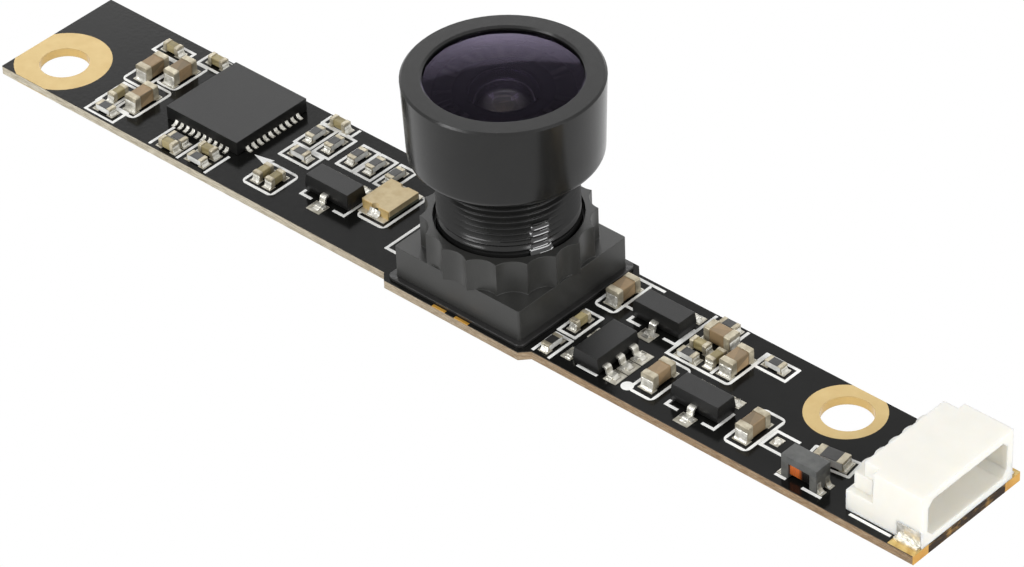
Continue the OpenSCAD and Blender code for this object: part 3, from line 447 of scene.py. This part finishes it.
LOOKS = {
    "circuit_board": board_material(),
    "mounting_rings": gold,
    "edge_pads": gold_material("edge_gold", rgb(196, 140, 48), rgb(222, 172, 76)),
    "silkscreen": ink_material(),
    "solder_lands": lands_material(),
    "solder_fillets": solder,
    "controller_chip": moulded,
    "controller_leads": solder,
    "lens_holder": holder_material(),
    "holder_sealant": sealant_material(),
    "image_sensor": sensor_material(),
    "sensor_glass": clear_glass,
    "infrared_filter": clear_glass,
    "lens_barrel": barrel_material(),
    "front_lens": glass_material("lens_glass", rgb(236, 232, 240), rgb(199, 187, 218), 1.25, painted=True),
    "light_baffle": baffle_material("baffle_painted_reflection", PAINTED_REFLECTION_R),
    "second_lens": inner_glass,
    "aperture_stop": baffle,
    "third_lens": glass_material("stop_lens_glass", rgb(238, 236, 228), rgb(200, 200, 178), 1.8),
    "lens_spacer": baffle,
    "rear_lens": inner_glass,
    "rear_retainer": baffle,
    "thread_adhesive": adhesive_material(),
    "connector_housing": nylon_material(),
    "connector_contacts": gold,
    "connector_tabs": solder,
    "large_capacitors": capacitor_material("capacitor_ceramic", rgb(104, 90, 66), rgb(166, 138, 102)),
    "large_capacitor_ends": end_cap,
    "small_capacitors": capacitor_material("small_capacitor_ceramic", rgb(126, 114, 76), rgb(178, 164, 122)),
    "small_capacitor_ends": end_cap,
    "resonator_cover": ceramic_material("resonator_cover", rgb(208, 184, 136), rgb(226, 206, 162)),
    "resonator_base": ceramic_material("resonator_base", rgb(70, 76, 62), rgb(106, 112, 92)),
    "resonator_ends": gold,
    "resistors": ceramic_material("alumina", rgb(196, 196, 192), rgb(226, 226, 222)),
    "resistor_coats": ceramic_material("resistor_coat", rgb(34, 34, 33), rgb(50, 49, 48), 0.3),
    "resistor_ends": end_cap,
    "transistor_bodies": moulded,
    "transistor_leads": solder,
    "regulator_body": moulded,
    "regulator_leads": solder,
    "choke_core": ceramic_material("choke_core", rgb(64, 64, 62), rgb(92, 92, 88)),
    "choke_plate": ceramic_material("choke_plate", rgb(66, 67, 66), rgb(84, 85, 83), 0.45, 0.06),
    "choke_winding": winding_material(),
    "choke_ends": solder,
}


def dress(mesh, material):
    if not mesh.materials:
        mesh.materials.append(material)
    for i in range(len(mesh.materials)):
        mesh.materials[i] = material


for name, material in LOOKS.items():
    dress(NODES[name].data, material)


# The lens barrel with the turns of its thread

PITCH = 0.35 * MM
DEPTH = 0.18 * MM
ROOT_FLAT = 0.8              # a turn is at its full depth beyond this share of the way to its root
TURNS_GROW = 0.8 * MM        # the turns grow to their full depth over this height above the collar
RUN_OUT = 0.1 * MM           # and end over this height below the head
ROWS_PER_TURN = 8
COLUMNS_PER_RIM_POINT = 3
SAME_POINT = 1e-7
ON_THE_WALL = 2e-6
LEVEL_SHARE = 0.3            # a face whose normal has less than this of z in it is upright
SHARP = math.radians(28)


def from_lens(v):
    return math.hypot(v.co.x - LENS.x, v.co.y - LENS.y)


barrel_mesh = NODES["lens_barrel"].data.copy()
barrel = bmesh.new()
barrel.from_mesh(barrel_mesh)
bmesh.ops.remove_doubles(barrel, verts=barrel.verts, dist=SAME_POINT)
# Below the collar's top nothing of the barrel is wider than its tail, whose plain wall gets the turns
TAIL_R = max(from_lens(v) for v in barrel.verts if v.co.z < COLLAR_TOP)
tail_wall = [f for f in barrel.faces if abs(f.normal.z) < LEVEL_SHARE
             and all(abs(from_lens(v) - TAIL_R) < ON_THE_WALL for v in f.verts)]
wall_points = {v for f in tail_wall for v in f.verts}
WALL_FOOT = min(v.co.z for v in wall_points)
WALL_TOP = max(v.co.z for v in wall_points)
RIM_POINTS = len([v for v in wall_points if v.co.z - WALL_FOOT < ON_THE_WALL])
bmesh.ops.delete(barrel, geom=tail_wall, context="FACES")


def helix_columns(turns, z0, z1, radius):
    """Columns of points whose rows follow the helix, so that crests and roots run through as edges.
    radius(z, cut, column) gives each point's distance from the lens axis, cut being 0 on a crest
    and 1 at a root."""
    rows = int((z1 - z0) / PITCH + 2) * ROWS_PER_TURN
    start = WALL_FOOT + PITCH * (math.floor((z0 - WALL_FOOT) / PITCH) - 1)
    columns = []
    for i, turn in enumerate(turns):
        angle = 2 * math.pi * turn
        column = []
        for j in range(rows + 1):
            z = min(z1, max(z0, start + PITCH * (j / ROWS_PER_TURN + turn)))
            phase = (j % ROWS_PER_TURN) / ROWS_PER_TURN
            cut = min(1.0, (1 - abs(2 * phase - 1)) / ROOT_FLAT)
            r = radius(z, cut, i)
            column.append((LENS.x + r * math.cos(angle), LENS.y + r * math.sin(angle), z))
        columns.append(column)
    return columns


def skin(bm, columns):
    """Joins neighbouring columns with faces and gives back their points."""
    points = [[bm.verts.new(p) for p in column] for column in columns]
    for left, beside in zip(points, points[1:]):
        for j in range(len(left) - 1):
            bm.faces.new((left[j], beside[j], beside[j + 1], left[j + 1]))
    return points


def finish_piece(bm, mesh, name, node):
    """Closes the mesh, smooths all but its sharp edges and lets it ride in place of the node."""
    bmesh.ops.remove_doubles(bm, verts=bm.verts, dist=SAME_POINT)
    bmesh.ops.dissolve_degenerate(bm, edges=bm.edges, dist=SAME_POINT)
    bmesh.ops.recalc_face_normals(bm, faces=bm.faces)
    for f in bm.faces:
        f.smooth = True
    for e in bm.edges:
        e.smooth = len(e.link_faces) == 2 and e.calc_face_angle(0) < SHARP
    for layer in list(mesh.attributes):
        if layer.name in ("custom_normal", "sharp_face"):
            mesh.attributes.remove(layer)
    bm.to_mesh(mesh)
    bm.free()
    piece = bpy.data.objects.new(name, mesh)
    bpy.context.scene.collection.objects.link(piece)
    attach(piece, "root")
    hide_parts(node)


def thread_r(z, cut, column=0):
    growth = max(0, (z - COLLAR_TOP) / TURNS_GROW)
    run_out = (WALL_TOP - z) / RUN_OUT
    return TAIL_R - DEPTH * cut * max(0, min(1, run_out, growth))


columns = RIM_POINTS * COLUMNS_PER_RIM_POINT
turns = [i / columns for i in range(columns + 1)]
points = skin(barrel, helix_columns(turns, WALL_FOOT, WALL_TOP, thread_r))
# The new wall has more points round each rim than the solid, and these faces close the slits
for i in range(0, columns, COLUMNS_PER_RIM_POINT):
    for end in (0, -1):
        barrel.faces.new([column[end] for column in points[i:i + COLUMNS_PER_RIM_POINT + 1]])
finish_piece(barrel, barrel_mesh, "lens_barrel_threaded", "lens_barrel")


# The adhesive film, laid over the turns on the solid streak's stretch of the thread

FILM = 0.04 * MM             # thickness over the crests
FILM_DIP = 0.7               # how much of the turns' depth still shows in it
FILM_TOP = 0.12 * MM         # it thins out over this height at its top
FILM_FOOT = 0.25 * MM        # and swells over this height above the collar
FILM_UNDER = 0.01 * MM       # past its sides it lies this far under the thread
FILM_COLUMNS = 24
FILM_LEFT = (0.7, 2.7)       # the columns of its left side, at the foot and at the top
FILM_RIGHT = (20.6, 23.4)    # the same for its right side
FILM_RAGGED = (0.6, 0.5)     # how far the two sides wander, in columns
FILM_WAVES = (19, 13)        # and how fast, in radians from foot to top
SIDE_COLUMNS = 1.5           # columns over which a side rises
FILM_INNER = TAIL_R - DEPTH - 0.02 * MM

film_mesh = NODES["thread_adhesive"].data
film_turns = [math.atan2(v.co.y - LENS.y, v.co.x - LENS.x) / 2 / math.pi + 1 for v in film_mesh.vertices]
FIRST_TURN, LAST_TURN = min(film_turns), max(film_turns)
FOOT_R = max(from_lens(v) for v in film_mesh.vertices)


def film_side(ends, ragged, waves, height):
    """The column where the film ends at this share of its height."""
    return ends[0] + (ends[1] - ends[0]) * height + ragged * math.sin(waves * height)


def film_r(z, cut, column):
    height = max(0, (z - COLLAR_TOP) / (film_hi.z - COLLAR_TOP))
    left = film_side(FILM_LEFT, FILM_RAGGED[0], FILM_WAVES[0], height)
    right = film_side(FILM_RIGHT, FILM_RAGGED[1], FILM_WAVES[1], height)
    rise = min(1, (column - left) / SIDE_COLUMNS, (right - column) / SIDE_COLUMNS)
    bare = thread_r(z, cut)
    full = TAIL_R + FILM - FILM_DIP * DEPTH * cut ** 2 * (3 - 2 * cut)
    r = bare + max(-FILM_UNDER, (full - bare) * rise)
    r = FILM_INNER + (r - FILM_INNER) * min(1, (film_hi.z - z) / FILM_TOP)
    swell = max(0, 1 - max(0, z - COLLAR_TOP) / FILM_FOOT) ** 2
    return r + (FOOT_R - r) * swell


def inner_r(z, cut, column):
    return FILM_INNER


film = bmesh.new()
turns = [FIRST_TURN + (LAST_TURN - FIRST_TURN) * i / FILM_COLUMNS for i in range(FILM_COLUMNS + 1)]
outer = skin(film, helix_columns(turns, film_lo.z, film_hi.z, film_r))
inner = skin(film, helix_columns(turns, film_lo.z, film_hi.z, inner_r))
for end in (0, -1):
    for j in range(len(outer[0]) - 1):
        film.faces.new((outer[end][j], outer[end][j + 1], inner[end][j + 1], inner[end][j]))
    for i in range(FILM_COLUMNS):
        film.faces.new((outer[i][end], outer[i + 1][end], inner[i + 1][end], inner[i][end]))
finish_piece(film, film_mesh.copy(), "thread_adhesive_film", "thread_adhesive")


# Studio: a pale floor and a soft sky that read as white, and three lamps

FLOOR_HALF = 0.6
FLOOR_GAP = 0.0002
SKY = 0.38
FADE_FROM = 0.5
UPPER_EDGE = 0.4


def add_floor():
    corners = [(x * FLOOR_HALF, y * FLOOR_HALF, 0) for x, y in ((-1, -1), (1, -1), (1, 1), (-1, 1))]
    mesh = bpy.data.meshes.new("floor")
    mesh.from_pydata(corners, [], [(0, 1, 2, 3)])
    s = Shader("floor_white")
    lit = s.principled(rgb(236, 236, 234), 0.6)
    mesh.materials.append(s.end(s.blend(s.seen(), lit, s.glow("ShaderNodeEmission", 1.0))))
    floor = bpy.data.objects.new("floor", mesh)
    floor.location = (0, 0, board_lo.z - FLOOR_GAP)
    bpy.context.scene.collection.objects.link(floor)


def add_sky():
    """White to the camera, and a weaker soft light on the part."""
    world = bpy.data.worlds.new("studio")
    bpy.context.scene.world = world
    world.use_nodes = True
    t = Tree(world.node_tree)
    soft = t.glow("ShaderNodeBackground", SKY)
    white = t.glow("ShaderNodeBackground", 1.0)
    t.link(t.blend(t.seen(), soft, white), t.add("ShaderNodeOutputWorld").inputs[0])


def soften(lamp):
    """Dims the lamp to UPPER_EDGE at its upper edge, and fades it out from FADE_FROM to its right side."""
    lamp.use_nodes = True
    t = Tree(lamp.node_tree)
    split = t.add("ShaderNodeSeparateXYZ")
    t.link(t.add("ShaderNodeNewGeometry").outputs["Parametric"], split.inputs[0])
    across = t.ramp(split.outputs[0], FADE_FROM, 1.0, 1.0, 0.0)
    upwards = t.ramp(split.outputs[1], 0.0, 1.0, 1.0, UPPER_EDGE)
    emission = t.add("ShaderNodeEmission")
    t.link(t.math("MULTIPLY", across, upwards), emission.inputs["Strength"])
    t.link(emission.outputs[0], t.add("ShaderNodeOutputLight").inputs[0])


def add_lamp(name, place, aim, size, power, roll=0, softened=False):
    lamp = bpy.data.lights.new(name, "AREA")
    lamp.shape = "RECTANGLE"
    lamp.size, lamp.size_y = size
    lamp.energy = power
    if softened:
        soften(lamp)
    o = bpy.data.objects.new(name, lamp)
    o.visible_camera = False
    bpy.context.scene.collection.objects.link(o)
    o.location = place
    o.rotation_mode = "QUATERNION"
    turn = Quaternion((0, 0, 1), math.radians(roll))
    o.rotation_quaternion = (Vector(aim) - Vector(place)).to_track_quat("-Z", "Y") @ turn


add_floor()
add_sky()
add_lamp("key", place=(-0.1, -0.38, 0.24), aim=(0, 0, 0.004), size=(0.24, 0.24), power=1.35)
add_lamp("fill", place=(0.355, -0.01, 0.195), aim=(0.005, 0, 0.006), size=(0.26, 0.16), power=1.0)
add_lamp("backdrop", place=(-0.34, 0.35, 0.222), aim=(0.002, 0, 0.01), size=(0.56, 0.155), power=1.15,
         roll=12, softened=True)


# Camera, as fitted to the photograph: angles in degrees, lengths in millimetres

AZIMUTH, ELEVATION, ROLL = (math.radians(v) for v in (43.835, 37.569, -2.387))
DISTANCE = 247.87
TARGET = Vector((0, 0.1, 0.5))
PX_PER_MM = 20.544
SHIFT_PX = (28.706, -27.222)
PICTURE_PX = 1024
SENSOR = 36

back = Vector((math.sin(AZIMUTH) * math.cos(ELEVATION), -math.cos(AZIMUTH) * math.cos(ELEVATION),
               math.sin(ELEVATION)))
level = Vector((math.cos(AZIMUTH), math.sin(AZIMUTH), 0))
upright = back.cross(level)
right = math.cos(ROLL) * level + math.sin(ROLL) * upright
up = -math.sin(ROLL) * level + math.cos(ROLL) * upright
spot = TARGET + back * DISTANCE + right * (SHIFT_PX[0] / PX_PER_MM) + up * (SHIFT_PX[1] / PX_PER_MM)
camera = bpy.data.cameras.new("camera")
camera.sensor_width = SENSOR
camera.lens = PX_PER_MM * DISTANCE / PICTURE_PX * SENSOR
camera.clip_start, camera.clip_end = 0.01, 10
eye = bpy.data.objects.new("camera", camera)
bpy.context.scene.collection.objects.link(eye)
eye.matrix_world = Matrix.Translation(spot * MM) @ Matrix((right, up, back)).transposed().to_4x4()
bpy.context.scene.camera = eye
bpy.context.scene.view_settings.view_transform = "Standard"
